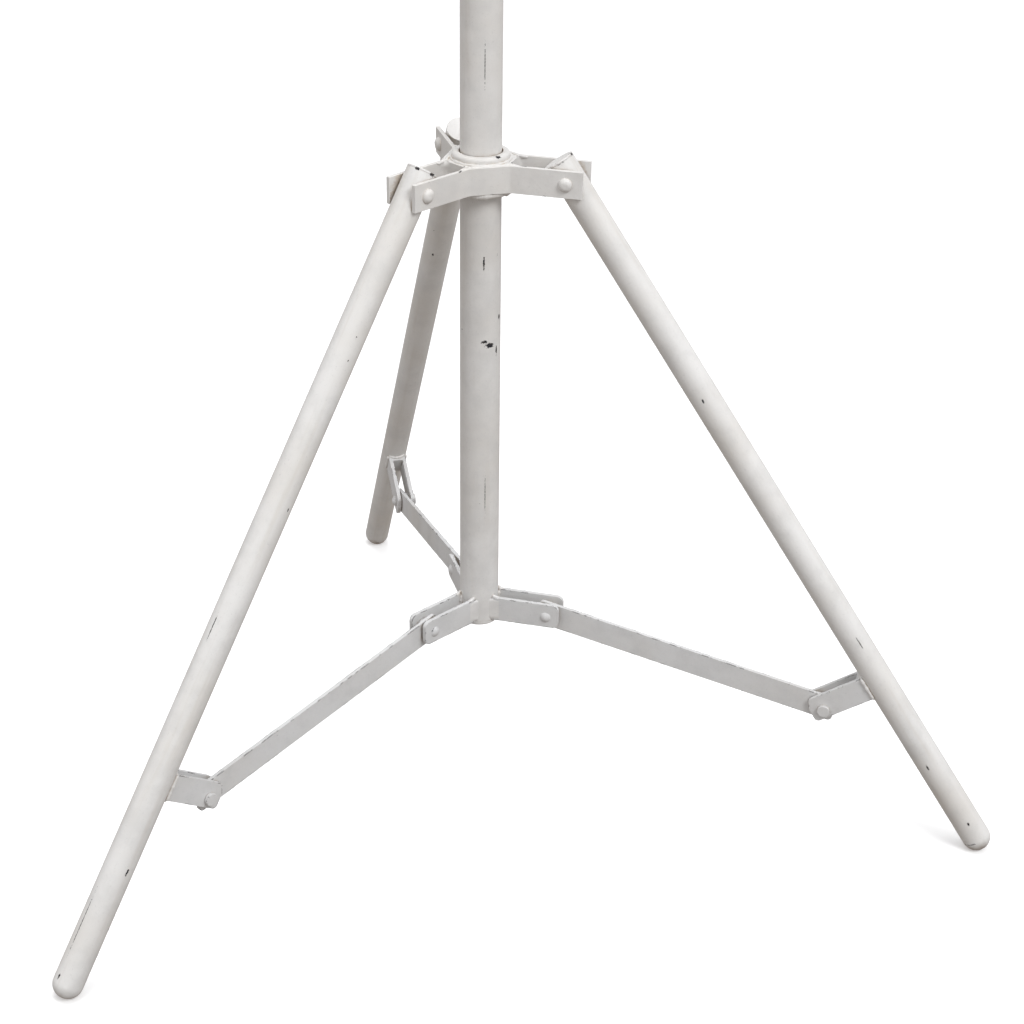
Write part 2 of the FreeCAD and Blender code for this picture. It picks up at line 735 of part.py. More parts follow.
def mast_parts():
    bottom = dim("mast_bottom")
    node("mast_tube", tube("mast_radius", "mast_wall", "mast_top - mast_bottom"), spot(z=bottom))
    bush = cut(
        cylinder("column_radius - column_wall - mast_play", "bush_height"),
        cylinder("mast_radius", "bush_height"),
    )
    node("mast_bush", bush, spot(z=bottom))


def swivel_socket():
    """Cap that turns on the mast's upper end and carries the yoke."""
    base = dim("mast_top") - dim("socket_depth")
    screw_height = dim("mast_top") - dim("socket_depth") / 2
    bore = cylinder("mast_radius + mast_play", "socket_depth + joint_play", spot(z=base))
    socket = bossed_collar(
        "socket_radius", "socket_depth + joint_play + socket_roof", bore, base, screw_height
    )
    node("swivel_socket", socket)
    tip = dim("mast_radius") + dim("joint_play")
    grip = dim("boss_reach") + 1.5 * dim("screw_radius")
    hand_screw("swivel_screw", tip, grip, along_x(spot(z=screw_height)))


def yoke_base():
    return dim("mast_top") + dim("joint_play") + dim("socket_roof")


def tilt_height():
    return yoke_base() + dim("yoke_rise")


def yoke():
    """Flat bar bent to a U that holds the housing between its arms."""
    body = new_body("arms")
    sketch = new_sketch(body, "XZ_Plane")
    top = "yoke_rise + yoke_end"
    inner = "yoke_half - bar_thick"
    draw_outline(sketch, (
        ("- yoke_half", top),
        ("- yoke_half", "0"),
        ("yoke_half", "0"),
        ("yoke_half", top),
        (inner, top),
        (inner, "bar_thick"),
        ("- (" + inner + ")", "bar_thick"),
        ("- (" + inner + ")", top),
    ))
    pad(body, sketch, "bar_width")
    thick = dim("bar_thick")
    round_edges(body, "3 * bar_thick", Y_AXIS, lambda middle: middle.z < 0.5 * thick)
    round_edges(body, "2 * bar_thick", Y_AXIS, lambda middle: abs(middle.z - thick) < 0.1)
    round_edges(body, "2 * bar_thick", X_AXIS, lambda middle: middle.z > 2 * thick)
    height = dim("yoke_rise")
    across = along_x(spot(x=-2 * dim("yoke_half"), z=height))
    arms = cut(body, cylinder("screw_radius + pin_play", "4 * yoke_half", across))
    node("yoke", arms, spot(z=yoke_base()))


def head_place(up=0.0):
    """The frame of the head: origin on the tilt axis, +Z forward, +Y up."""
    return spot(z=tilt_height()) * spot(axis=X_AXIS, angle=90) * spot(y=up)


def housing():
    """Tube round the lampholder, with vent slots near its rear end."""
    length = "housing_front + housing_rear"
    wall = tube("housing_radius", "housing_wall", length, spot(z=-dim("housing_rear")))
    corner = spot(
        x=dim("housing_radius") - 2 * dim("slot_width"),
        y=-dim("slot_width") / 2,
        z=-dim("housing_rear") + dim("slot_margin"),
    )
    slots = []
    for k in range(SLOT_COUNT):
        turn = spot(angle=(k + 0.5) * 360 / SLOT_COUNT)
        slots.append(box("housing_radius / 3", "slot_width", "slot_length", turn * corner))
    node("housing", cut(wall, fuse(*slots)), head_place())


def rear_cap():
    """Pressed cap on the housing's rear end, with holes for the cable gland and the switch."""
    rear = -dim("housing_rear")
    disc = cylinder("housing_radius", "plate_wall", spot(z=rear - dim("plate_wall")))
    outside = rear - dim("plate_wall")
    rounded = fillet_circle(disc, dim("housing_radius"), outside, dim("cap_round"))
    lip = tube("housing_radius - housing_wall", "housing_wall", "4 * plate_wall", spot(z=rear))
    start = rear - 4 * dim("plate_wall")
    gland_hole = cylinder("gland_radius / 1.5", "8 * plate_wall", spot(z=start))
    switch_place = spot(y=-dim("switch_drop"), z=start)
    switch_hole = cylinder("switch_radius / 1.5", "8 * plate_wall", switch_place)
    node("rear_cap", cut(fuse(rounded, lip), fuse(gland_hole, switch_hole)), head_place())


def half_ellipsoid(radius, depth, place):
    obj = DOC.addObject("Part::Ellipsoid", "bowl")
    bind(obj, Radius1=depth, Radius2=radius, Radius3=radius)
    obj.Angle2 = 0
    obj.Placement = place
    return obj


def rim_plane():
    """Plane of the reflector's rim, forward of the tilt axis."""
    share = dim("housing_radius") / dim("reflector_radius")
    return (
        dim("housing_front") - dim("reflector_lap")
        + dim("reflector_depth") * sqrt(1 - share ** 2)
    )


def reflector():
    """Spun bowl with a rolled rim, open in front, fitted over the housing's front end."""
    rim = spot(z=rim_plane())
    outside = half_ellipsoid("reflector_radius", "reflector_depth", rim)
    inside = half_ellipsoid(
        "reflector_radius - reflector_wall", "reflector_depth - reflector_wall", rim
    )
    neck = cylinder("housing_radius", "2 * reflector_depth", spot(z=-dim("reflector_depth")))
    bowl = cut(cut(outside, inside), neck)
    bead = DOC.addObject("Part::Torus", "bead")
    bind(bead, Radius1="reflector_radius", Radius2="rim_bead")
    bead.Placement = rim
    node("reflector", fuse(bowl, bead), head_place())


def lamp_parts():
    """Lampholder on its plate, with the bulb screwed into it."""
    plate = cylinder("housing_radius - housing_wall", "plate_wall", spot(z=-dim("plate_wall")))
    wire_place = spot(y=dim("wire_hole_rise"), z=-4 * dim("plate_wall"))
    wire_hole = cylinder("gland_bore", "8 * plate_wall", wire_place)
    node("lampholder_plate", cut(plate, wire_hole), head_place())
    bore = cylinder("thread_radius", "holder_length", spot(z=dim("holder_floor")))
    node("lampholder", cut(cylinder("holder_radius", "holder_length"), bore), head_place())
    cap_start = dim("holder_length") + dim("cap_proud") - dim("thread_length")
    node("bulb_cap", cylinder("thread_radius", "thread_length"), head_place() * spot(z=cap_start))
    neck_start = cap_start + dim("thread_length")
    cone = DOC.addObject("Part::Cone", "neck")
    bind(cone, Radius1="neck_radius", Radius2="shoulder_radius", Height="shoulder_rise")
    globe = DOC.addObject("Part::Sphere", "globe")
    bind(globe, Radius="bulb_radius")
    globe.Placement = spot(z=dim("bulb_neck"))
    node("bulb", fuse(cone, globe), head_place() * spot(z=neck_start))


def tilt_pivots():
    """Bosses on the housing's sides, the fixed bolt on one and the hand screw on the other."""
    inner_face = dim("yoke_half") - dim("bar_thick")
    shell = cylinder("housing_radius", "housing_front + housing_rear", spot(z=-dim("housing_rear")))
    bosses = []
    for side in (1, -1):
        across = spot(axis=Y_AXIS, angle=90 * side)
        boss = cylinder("3 * screw_radius", "yoke_half - bar_thick - joint_play", across)
        bore = cylinder("screw_radius + pin_play", "2 * yoke_half", across)
        bosses.append(cut(cut(boss, shell), bore))
    node("tilt_bosses", group(*bosses), head_place())
    left = spot(axis=Y_AXIS, angle=-90)
    bolt_start = dim("housing_radius") + dim("plate_wall") / 2
    outside = dim("yoke_half") + dim("joint_play")
    shank = DOC.addObject("Part::Cylinder", "bolt")
    bind(shank, Radius="screw_radius", Height="yoke_half + joint_play - housing_radius - plate_wall / 2")
    shank.Placement = left * spot(z=bolt_start)
    head = dome("rivet_radius", "rivet_rise", left * spot(z=outside))
    node("pivot_bolt", fuse(shank, head), head_place())
    grip = inner_face + dim("bar_thick") + 1.5 * dim("screw_radius")
    hand_screw("tilt_screw", bolt_start, grip, head_place() * spot(axis=Y_AXIS, angle=90))


def switch_parts():
    """Toggle switch and its lever on the rear cap, lever leaning to its first side."""
    rear = -dim("housing_rear") - dim("plate_wall")
    back = head_place(-dim("switch_drop")) * spot(z=rear) * spot(axis=Y_AXIS, angle=180)
    body = cylinder("switch_radius", "switch_length")
    recess = cylinder("0.7 * switch_radius", "switch_length / 2", spot(z=dim("switch_length") / 2))
    node("switch_body", cut(body, recess), back)
    lean = spot(axis=X_AXIS, angle=dim("lever_lean"))
    pivot_rise = dim("switch_length") / 2 + dim("lever_radius") + dim("lever_play")
    pivot = back * spot(z=pivot_rise) * lean
    ball = DOC.addObject("Part::Sphere", "ball")
    bind(ball, Radius="lever_radius")
    tip = DOC.addObject("Part::Sphere", "tip")
    bind(tip, Radius="1.5 * lever_radius")
    tip.Placement = spot(z=dim("lever_length"))
    lever = fuse(ball, cylinder("lever_radius", "lever_length"), tip)
    node("switch_lever", lever, pivot)


def cable_gland():
    rear = -dim("housing_rear") - dim("plate_wall")
    collar = cylinder("gland_radius", "gland_length / 2", spot(z=rear - dim("gland_length") / 2))
    nose = cylinder("gland_radius / 1.4", "gland_length", spot(z=rear - dim("gland_length")))
    bore = cylinder("gland_bore", "4 * gland_length", spot(z=rear - 2 * dim("gland_length")))
    node("cable_gland", cut(fuse(collar, nose), bore), head_place())


def build():
    hub_sleeve()
    hub_core()
    for name, azimuth in (("front", 270.0), ("rear_left", 150.0), ("rear_right", 30.0)):
        hub_strap(name, azimuth)
    for name, azimuth, side, flat_side in LEGS:
        hub_rivet(name, azimuth)
        leg_tube(name, azimuth)
        leg_cap(name, azimuth)
        leg_foot(name, azimuth)
        leg_bracket(name, azimuth)
        bracket_pin(name, azimuth, flat_side)
        pin_washers(name, azimuth, side)
        brace(name, azimuth, side)
        brace_spool(name, azimuth, side)
        clevis_plates(name, azimuth)
        clevis_rivet(name, azimuth)
    column_parts()
    clamp_collar()
    mast_parts()
    swivel_socket()
    yoke()
    housing()
    rear_cap()
    reflector()
    lamp_parts()
    tilt_pivots()
    switch_parts()
    cable_gland()


def check_and_write():
    """Stop on any failed object, then write one STEP file for each sub-part."""
    DOC.recompute()
    for obj in DOC.Objects:
        if "Invalid" in obj.State or "Error" in obj.State:
            raise RuntimeError("failed object: %s (%s)" % (obj.Name, obj.Label))
    os.makedirs("parts", exist_ok=True)
    for obj in NODES:
        shape = obj.Shape
        if shape.isNull() or not shape.isValid() or shape.Volume <= 0:
            raise RuntimeError("bad shape: " + obj.Label)
        shape.exportStep("parts/%s.step" % obj.Label)
    print(len(NODES), "sub-parts written")


build()
check_and_write()
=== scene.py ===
"""Looks of the tripod floor lamp round its CAD frame: old off-white paint, welds, rivets, fittings."""

import json
from math import atan2, cos, pi, radians, sin, sqrt

import bmesh
import bpy
from mathutils import Matrix, Vector, noise


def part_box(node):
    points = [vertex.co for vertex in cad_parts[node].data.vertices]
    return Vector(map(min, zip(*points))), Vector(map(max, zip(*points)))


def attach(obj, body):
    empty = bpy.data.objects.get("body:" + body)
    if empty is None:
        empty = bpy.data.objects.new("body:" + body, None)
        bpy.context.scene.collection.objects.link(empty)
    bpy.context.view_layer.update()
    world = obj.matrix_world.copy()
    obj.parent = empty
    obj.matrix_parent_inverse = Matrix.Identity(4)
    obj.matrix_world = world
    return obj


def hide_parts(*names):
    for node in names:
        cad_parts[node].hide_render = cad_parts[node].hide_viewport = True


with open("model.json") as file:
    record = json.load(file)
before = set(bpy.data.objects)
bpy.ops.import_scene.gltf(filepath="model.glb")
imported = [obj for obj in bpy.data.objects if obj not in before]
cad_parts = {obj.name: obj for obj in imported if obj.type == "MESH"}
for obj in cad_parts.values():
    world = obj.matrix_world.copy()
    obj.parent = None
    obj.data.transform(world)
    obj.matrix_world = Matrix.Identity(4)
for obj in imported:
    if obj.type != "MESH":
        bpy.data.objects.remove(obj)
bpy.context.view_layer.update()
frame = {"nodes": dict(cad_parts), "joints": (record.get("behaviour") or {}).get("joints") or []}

NODES = frame["nodes"]
JOINTS = {joint["name"]: joint for joint in frame["joints"]}

MM = 0.001
LEG_AZIMUTH = {"left": 210.0, "right": 330.0, "rear": 90.0}
GAP_AZIMUTH = {"front": 270.0, "rear_left": 150.0, "rear_right": 30.0}


# ---------------------------------------------------------------- positions taken from the frame

def middle(node):
    low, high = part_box(node)
    return (low + high) / 2


def joint_spot(name):
    return Vector(JOINTS[name]["pos_m"])


COLUMN_LOW, COLUMN_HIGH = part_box("column_tube")
COLUMN_RADIUS = (COLUMN_HIGH.x - COLUMN_LOW.x) / 2
HUB_PIVOT = joint_spot("leg_rear_fold")
OUTER_PIVOT = joint_spot("brace_rear_swing")
LEG_RADIUS = (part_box("leg_tube_rear")[1].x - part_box("leg_tube_rear")[0].x) / 2
TILT_AXIS = joint_spot("head_tilt")
CLEVIS_HALF = (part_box("clevis_rear")[1].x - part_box("clevis_rear")[0].x) / 2
BRACKET_HALF = (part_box("leg_bracket_rear")[1].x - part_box("leg_bracket_rear")[0].x) / 2

TILT_ROUNDS = 30


def leg_direction():
    """Lean of a leg from the vertical."""
    low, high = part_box("leg_tube_rear")
    across, rise = high.y - low.y, high.z - low.z
    # The tube's square ends add its own width to both extents of the box.
    tilt = atan2(across, rise)
    for _ in range(TILT_ROUNDS):
        tilt = atan2(across - 2 * LEG_RADIUS * cos(tilt), rise - 2 * LEG_RADIUS * sin(tilt))
    return tilt


LEG_TILT = leg_direction()


def around(azimuth):
    """Turns the rear leg's upright plane onto another leg: +X outward, +Y across it."""
    return Matrix.Rotation(radians(azimuth), 4, "Z")


def leg_frame(azimuth, along):
    """Frame on a leg's axis: +Z up the tube, +X outward; along is measured down from the hub pivot."""
    return (
        around(azimuth)
        @ Matrix.Translation((HUB_PIVOT.y, 0, HUB_PIVOT.z))
        @ Matrix.Rotation(-LEG_TILT, 4, "Y")
        @ Matrix.Translation((0, 0, -along))
    )


def down_leg(point):
    """How far down the leg a point of the rear leg's plane lies."""
    reach, height = point.y - HUB_PIVOT.y, point.z - HUB_PIVOT.z
    return reach * sin(LEG_TILT) - height * cos(LEG_TILT)


BRACKET_ALONG = down_leg(OUTER_PIVOT)


# ---------------------------------------------------------------- camera, floor and light

def look(yaw, pitch, roll):
    """Camera rotation from yaw about Z, downward pitch and roll."""
    forward = Vector((sin(yaw) * cos(pitch), cos(yaw) * cos(pitch), -sin(pitch)))
    right = Vector((cos(yaw), -sin(yaw), 0))
    up = right.cross(forward)
    rolled_right = right * cos(roll) + up * sin(roll)
    rolled_up = up * cos(roll) - right * sin(roll)
    return Matrix((rolled_right, rolled_up, -forward)).transposed().to_4x4()


CAMERA_TURN = -14.16
CAMERA_PLACE = (-0.0105, -1.838, 1.26)
CAMERA_YAW, CAMERA_PITCH, CAMERA_ROLL = 0.023, 0.481, 0.012
CAMERA_LENS = 74.6


def add_camera():
    """Camera a little left of the head's facing direction, looking down on the tripod."""
    turn = Matrix.Rotation(radians(CAMERA_TURN), 4, "Z")
    place = Matrix.Translation(CAMERA_PLACE) @ look(CAMERA_YAW, CAMERA_PITCH, CAMERA_ROLL)
    data = bpy.data.cameras.new("camera")
    data.sensor_width = 36.0
    data.lens = CAMERA_LENS
    data.clip_end = 50
    camera = bpy.data.objects.new("camera", data)
    bpy.context.scene.collection.objects.link(camera)
    camera.matrix_world = turn @ place
    bpy.context.scene.camera = camera


def add_floor():
    """White paper floor; it takes light and shadow but throws none back up at the lamp."""
    mesh = bpy.data.meshes.new("floor")
    bm = bmesh.new()
    bmesh.ops.create_grid(bm, x_segments=1, y_segments=1, size=14)
    bm.to_mesh(mesh)
    bm.free()
    floor = bpy.data.objects.new("floor", mesh)
    bpy.context.scene.collection.objects.link(floor)
    mat = bpy.data.materials.new("floor_paper")
    mat.use_nodes = True
    shader = mat.node_tree.nodes["Principled BSDF"]
    shader.inputs["Base Color"].default_value = (0.82, 0.82, 0.82, 1)
    shader.inputs["Roughness"].default_value = 1.0
    shader.inputs["Specular IOR Level"].default_value = 0.0
    shader.inputs["Emission Color"].default_value = (1, 1, 1, 1)
    shader.inputs["Emission Strength"].default_value = 0.30
    mesh.materials.append(mat)
    floor.visible_diffuse = False
    floor.visible_glossy = False


def add_light(name, location, target, size, power, colour=(1, 1, 1)):
    data = bpy.data.lights.new(name, "AREA")
    data.shape = "RECTANGLE"
    data.size, data.size_y = size
    data.energy = power
    data.color = colour
    light = bpy.data.objects.new(name, data)
    bpy.context.scene.collection.objects.link(light)
    direction = Vector(target) - Vector(location)
    light.location = location
    light.visible_camera = False
    light.rotation_euler = direction.to_track_quat("-Z", "Y").to_euler()


def add_world():
    """Soft studio dome: bright overhead, dim and warm from below."""
    world = bpy.data.worlds.new("studio")
    bpy.context.scene.world = world
    world.use_nodes = True
    tree = world.node_tree
    coordinates = tree.nodes.new("ShaderNodeTexCoord")
    split = tree.nodes.new("ShaderNodeSeparateXYZ")
    tree.links.new(coordinates.outputs["Generated"], split.inputs[0])
    height = tree.nodes.new("ShaderNodeMapRange")
    tree.links.new(split.outputs["Z"], height.inputs["Value"])
    height.inputs["From Min"].default_value = -0.40
    height.inputs["From Max"].default_value = -0.02
    blend = tree.nodes.new("ShaderNodeMix")
    blend.data_type = "RGBA"
    tree.links.new(height.outputs["Result"], blend.inputs["Factor"])
    blend.inputs["A"].default_value = (0.27, 0.235, 0.205, 1)
    blend.inputs["B"].default_value = (0.66, 0.66, 0.67, 1)
    tree.links.new(blend.outputs["Result"], tree.nodes["Background"].inputs["Color"])


def add_lights():
    add_world()
    add_light("key", (1.4, -3.0, 3.7), (0, 0, 0.45), (1.6, 1.6), 106, (0.98, 0.99, 1.0))
    add_light("top", (-0.2, 0.2, 5.4), (0, 0, 0.3), (2.4, 2.4), 104)
    add_light("side", (-4.0, -2.0, 2.6), (0, 0, 0.35), (1.6, 2.4), 17, (1.0, 0.98, 0.95))
    bpy.context.scene.view_settings.view_transform = "Standard"


# ---------------------------------------------------------------- materials

class Nodes:
    """Small helper that adds and links shader nodes."""

    def __init__(self, name, frame_here=None):
        self.mat = bpy.data.materials.new(name)
        self.mat.use_nodes = True
        self.tree = self.mat.node_tree
        self.shader = self.tree.nodes["Principled BSDF"]
        self.world = self.tree.nodes.new("ShaderNodeTexCoord").outputs["Object"]
        self.place = self.world
        if frame_here is not None:
            mapping = self.add("Mapping", vector_type="TEXTURE")
            self.put(mapping.inputs["Vector"], self.world)
            self.put(mapping.inputs["Location"], frame_here.to_translation())
            self.put(mapping.inputs["Rotation"], frame_here.to_euler())
            self.place = mapping.outputs[0]

    def add(self, kind, **settings):
        node = self.tree.nodes.new("ShaderNode" + kind)
        for key, value in settings.items():
            setattr(node, key, value)
        return node

    def put(self, socket, value):
        if isinstance(value, bpy.types.NodeSocket):
            self.tree.links.new(value, socket)
        else:
            socket.default_value = value

    def maths(self, operation, a, b=0.0, clamp=False):
        node = self.add("Math", operation=operation, use_clamp=clamp)
        self.put(node.inputs[0], a)
        self.put(node.inputs[1], b)
        return node.outputs[0]

    def noise(self, scale, detail=3.0, roughness=0.55, stretch=(1, 1, 1), offset=(0, 0, 0)):
        """Noise value in 0..1 on object coordinates; stretch lengthens it along an axis."""
        mapping = self.add("Mapping")
        self.put(mapping.inputs["Vector"], self.place)
        self.put(mapping.inputs["Scale"], stretch)
        self.put(mapping.inputs["Location"], offset)
        tex = self.add("TexNoise")
        self.put(tex.inputs["Vector"], mapping.outputs[0])
        self.put(tex.inputs["Scale"], scale)
        self.put(tex.inputs["Detail"], detail)
        self.put(tex.inputs["Roughness"], roughness)
        return tex.outputs["Fac"]

    def ramp(self, value, low, high):
        """Smooth step of a value from low to high."""
        node = self.add("MapRange", interpolation_type="SMOOTHSTEP")
        self.put(node.inputs["Value"], value)
        self.put(node.inputs["From Min"], low)
        self.put(node.inputs["From Max"], high)
        return node.outputs["Result"]

    def mix(self, share, a, b):
        """Colour a changed to colour b by a share."""
        node = self.add("Mix", data_type="RGBA")
        self.put(node.inputs["Factor"], share)
        self.put(node.inputs["A"], a)
        self.put(node.inputs["B"], b)
        return node.outputs["Result"]

    def edges(self, radius):
        """Share of a convex or concave edge within a radius."""
        bevel = self.add("Bevel", samples=4)
        self.put(bevel.inputs["Radius"], radius)
        geometry = self.add("NewGeometry")
        dot = self.add("VectorMath", operation="DOT_PRODUCT")
        self.put(dot.inputs[0], bevel.outputs["Normal"])
        self.put(dot.inputs[1], geometry.outputs["Normal"])
        return self.maths("SUBTRACT", 1.0, dot.outputs["Value"])

    def crevice(self, distance):
        """Share of shelter from close surfaces: 1 deep in a seam, 0 in the open."""
        ao = self.add("AmbientOcclusion", samples=8)
        self.put(ao.inputs["Distance"], distance)
        return self.maths("SUBTRACT", 1.0, ao.outputs["AO"])

    def bump(self, height, strength, distance, base=None):
        node = self.add("Bump")
        self.put(node.inputs["Height"], height)
        self.put(node.inputs["Strength"], strength)
        self.put(node.inputs["Distance"], distance)
        if base is not None:
            self.put(node.inputs["Normal"], base)
        return node.outputs["Normal"]

    def height(self):
        """Height above the floor."""
        split = self.add("SeparateXYZ")
        self.put(split.inputs[0], self.world)
        return split.outputs["Z"]

    def spots(self, marks):
        """Share of any of a list of worn marks on a tube; each is its turn, place and half sizes."""
        warp = self.maths("SUBTRACT", self.noise(420, 5.0, 0.75), 0.5)
        total = 0.0
        for turn, centre, half in marks:
            mapping = self.add("Mapping", vector_type="TEXTURE")
            self.put(mapping.inputs["Vector"], self.place)
            self.put(mapping.inputs["Location"], centre)
            self.put(mapping.inputs["Rotation"], (0, 0, turn))
            self.put(mapping.inputs["Scale"], half)
            length = self.add("VectorMath", operation="LENGTH")
            self.put(length.inputs[0], mapping.outputs[0])
            wobbled = self.maths("ADD", length.outputs["Value"], self.maths("MULTIPLY", warp, 3.4))
            inside = self.ramp(wobbled, 1.1, 0.8)
            total = inside if total == 0.0 else self.maths("MAXIMUM", total, inside)
        return total


def old_paint(name, colour, frame_here=None, marks=(), streaks=0.0, bare=0.58, dirt=1.0):
    """Brushed satin paint over dark steel: mottled, stained in seams and darkened there with painted shade,
    chipped and scuffed.
    """
    n = Nodes(name, frame_here)
    warm = (0.50, 0.44, 0.36, 1)
    grey = tuple(c * 0.80 for c in colour[:3]) + (1,)
    broad = n.ramp(n.noise(6.0, 4.0, 0.6), 0.40, 0.72)
    pale = n.mix(n.maths("MULTIPLY", broad, 0.30 * dirt), colour, warm)
    cloudy = n.ramp(n.noise(34.0, 5.0, 0.65, offset=(2, 5, 1)), 0.42, 0.70)
    pale = n.mix(n.maths("MULTIPLY", cloudy, 0.42), pale, grey)
    speckle = n.ramp(n.noise(480.0, 2.0, 0.7), 0.58, 0.80)
    pale = n.mix(n.maths("MULTIPLY", speckle, 0.30), pale, tuple(c * 0.6 for c in colour[:3]) + (1,))
    if streaks:
        run = n.ramp(n.noise(95.0, 3.0, 0.6, (1, 1, 0.05)), 0.50, 0.74)
        pale = n.mix(n.maths("MULTIPLY", run, streaks), pale, warm)

    seam = n.crevice(0.010)
    patchy = n.ramp(n.noise(85.0, 5.0, 0.65), 0.40, 0.60)
    halo = n.maths("MULTIPLY", n.ramp(seam, 0.22, 0.70), patchy)
    tinted = n.mix(n.maths("MULTIPLY", halo, 0.55 * dirt), pale, (0.50, 0.39, 0.265, 1))
    # painted shade: the colour goes darker grey-brown deep in seams and crevices, where shade falls
    shaded = n.mix(n.maths("MULTIPLY", n.ramp(seam, 0.45, 0.95), 0.5), tinted, (0.33, 0.29, 0.24, 1))
    rusty = n.ramp(n.noise(140.0, 4.0, 0.7, offset=(5, 5, 5)), 0.5, 0.62)
    rust = n.maths("MULTIPLY", n.ramp(seam, 0.48, 0.85), rusty)
    stained = n.mix(n.maths("MULTIPLY", rust, 0.85 * dirt), shaded, (0.25, 0.125, 0.055, 1))
    scuff = n.ramp(n.maths("ADD", n.height(), n.maths("MULTIPLY", n.noise(60.0), 0.03)), 0.030, 0.012)
    stained = n.mix(n.maths("MULTIPLY", scuff, 0.7), stained, (0.20, 0.135, 0.085, 1))

    edge = n.ramp(n.edges(0.0020), 0.012, 0.10)
    broken = n.ramp(n.noise(75.0, 6.0, 0.7, offset=(3, 1, 4)), bare, bare + 0.03)
    chip = n.maths("MULTIPLY", edge, broken)
    pits = n.ramp(n.noise(120.0, 4.0, 0.6, offset=(9, 2, 6)), 0.745, 0.765)
    chip = n.maths("MAXIMUM", chip, pits)
    if marks:
        chip = n.maths("MAXIMUM", chip, n.spots(marks))
    chip = n.ramp(chip, 0.35, 0.6)
    dark = n.mix(n.ramp(n.noise(210.0), 0.4, 0.7), (0.016, 0.017, 0.022, 1), (0.075, 0.06, 0.05, 1))
    n.put(n.shader.inputs["Base Color"], n.mix(chip, stained, dark))

    gloss = n.maths("ADD", 0.38, n.maths("MULTIPLY", n.noise(38.0, 3.0), 0.22))
    n.put(n.shader.inputs["Roughness"], n.maths("ADD", gloss, n.maths("MULTIPLY", chip, 0.2)))
    n.shader.inputs["Specular IOR Level"].default_value = 0.45
    relief = n.bump(n.noise(60.0, 4.0, 0.55), 0.30, 0.0016)
    relief = n.bump(n.noise(420.0, 3.0, 0.6), 0.22, 0.0004, relief)
    relief = n.bump(n.maths("SUBTRACT", 1.0, chip), 0.8, 0.0004, relief)
    n.put(n.shader.inputs["Normal"], relief)
    return n.mat


def metal(name, colour, roughness, scratch=(1, 1, 1), tarnish=0.25):
    """Bare metal with fine drawn scratches and dull patches."""
    n = Nodes(name)
    n.shader.inputs["Metallic"].default_value = 1.0
    lines = n.noise(260.0, 4.0, 0.65, scratch)
    patches = n.ramp(n.noise(22.0, 4.0, 0.6), 0.45, 0.75)
    dull = tuple(c * 0.55 for c in colour[:3]) + (1,)
    n.put(n.shader.inputs["Base Color"], n.mix(n.maths("MULTIPLY", patches, tarnish), colour, dull))
    rough = n.maths("ADD", roughness, n.maths("MULTIPLY", lines, 0.14))
    n.put(n.shader.inputs["Roughness"], n.maths("ADD", rough, n.maths("MULTIPLY", patches, 0.15)))
    n.put(n.shader.inputs["Normal"], n.bump(lines, 0.10, 0.0002))
    return n.mat


def moulded(name, colour, roughness, grain=240.0, worn=0.0):
    """Moulded plastic, rubber or glazed ware with a fine surface grain and dusty wear."""
    n = Nodes(name)
    dust = n.ramp(n.noise(30.0, 4.0, 0.6), 0.45, 0.8)
    paler = tuple(min(1.0, c * 1.6 + 0.03) for c in colour[:3]) + (1,)
    shade = n.mix(n.maths("MULTIPLY", dust, 0.35), colour, paler)
    if worn:
        shade = n.mix(n.maths("MULTIPLY", n.ramp(n.edges(0.001), 0.03, 0.3), worn), shade, paler)
    n.put(n.shader.inputs["Base Color"], shade)
    n.put(n.shader.inputs["Roughness"], n.maths("ADD", roughness, n.maths("MULTIPLY", dust, 0.12)))
    n.put(n.shader.inputs["Normal"], n.bump(n.noise(grain, 3.0, 0.6), 0.15, 0.0003))
    return n.mat


# ---------------------------------------------------------------- meshes

def new_object(name, bm, mat, body):
    """Turns a bmesh into a piece that rides on a body."""
    bmesh.ops.recalc_face_normals(bm, faces=bm.faces)
    mesh = bpy.data.meshes.new(name)
    bm.to_mesh(mesh)
    bm.free()
    mesh.polygons.foreach_set("use_smooth", [True] * len(mesh.polygons))
    mesh.set_sharp_from_angle(angle=radians(45))
    mesh.materials.append(mat)
    piece = bpy.data.objects.new(name, mesh)
    bpy.context.scene.collection.objects.link(piece)
    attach(piece, body)
    return piece


def bridge(bm, first, second):
    count = len(first)
    for k in range(count):
        bm.faces.new((first[k], first[(k + 1) % count], second[(k + 1) % count], second[k]))


def resample(points, step):
    """Points at an even step along a polyline."""
    result = [points[0]]
    for a, b in zip(points, points[1:]):
        count = max(1, round((b - a).length / step))
        result += [a.lerp(b, (k + 1) / count) for k in range(count)]
    return result


def add_bead(bm, points, radius, closed=False, step=1.1 * MM, ripple=0.16, sides=10):
    """Weld bead: a rope of metal with the ripples and the uneven width of hand welding."""
    path = resample(points, step)
    if closed:
        path = path[:-1]
    rings = []
    count = len(path)
    for k, point in enumerate(path):
        if closed:
            ahead, behind = path[(k + 1) % count], path[k - 1]
        else:
            ahead, behind = path[min(k + 1, count - 1)], path[max(k - 1, 0)]
        forward = (ahead - behind).normalized()
        side = forward.orthogonal().normalized()
        if abs(forward.z) < 0.9:
            side = forward.cross(Vector((0, 0, 1))).normalized()
        up = side.cross(forward)
        wave = 1 + ripple * sin(k * 2.1) * 0.5 + ripple * 2.2 * noise.noise(point * 260)
        if not closed:
            wave *= min(1.0, 0.35 + 0.4 * min(k, count - 1 - k))
        ring = []
        for j in range(sides):
            angle = 2 * pi * j / sides
            ring.append(bm.verts.new(point + (side * cos(angle) + up * sin(angle)) * radius * wave))
        rings.append(ring)
    for a, b in zip(rings, rings[1:]):
        bridge(bm, a, b)
    if closed:
        bridge(bm, rings[-1], rings[0])
    else:
        bm.faces.new(rings[0])
        bm.faces.new(rings[-1])


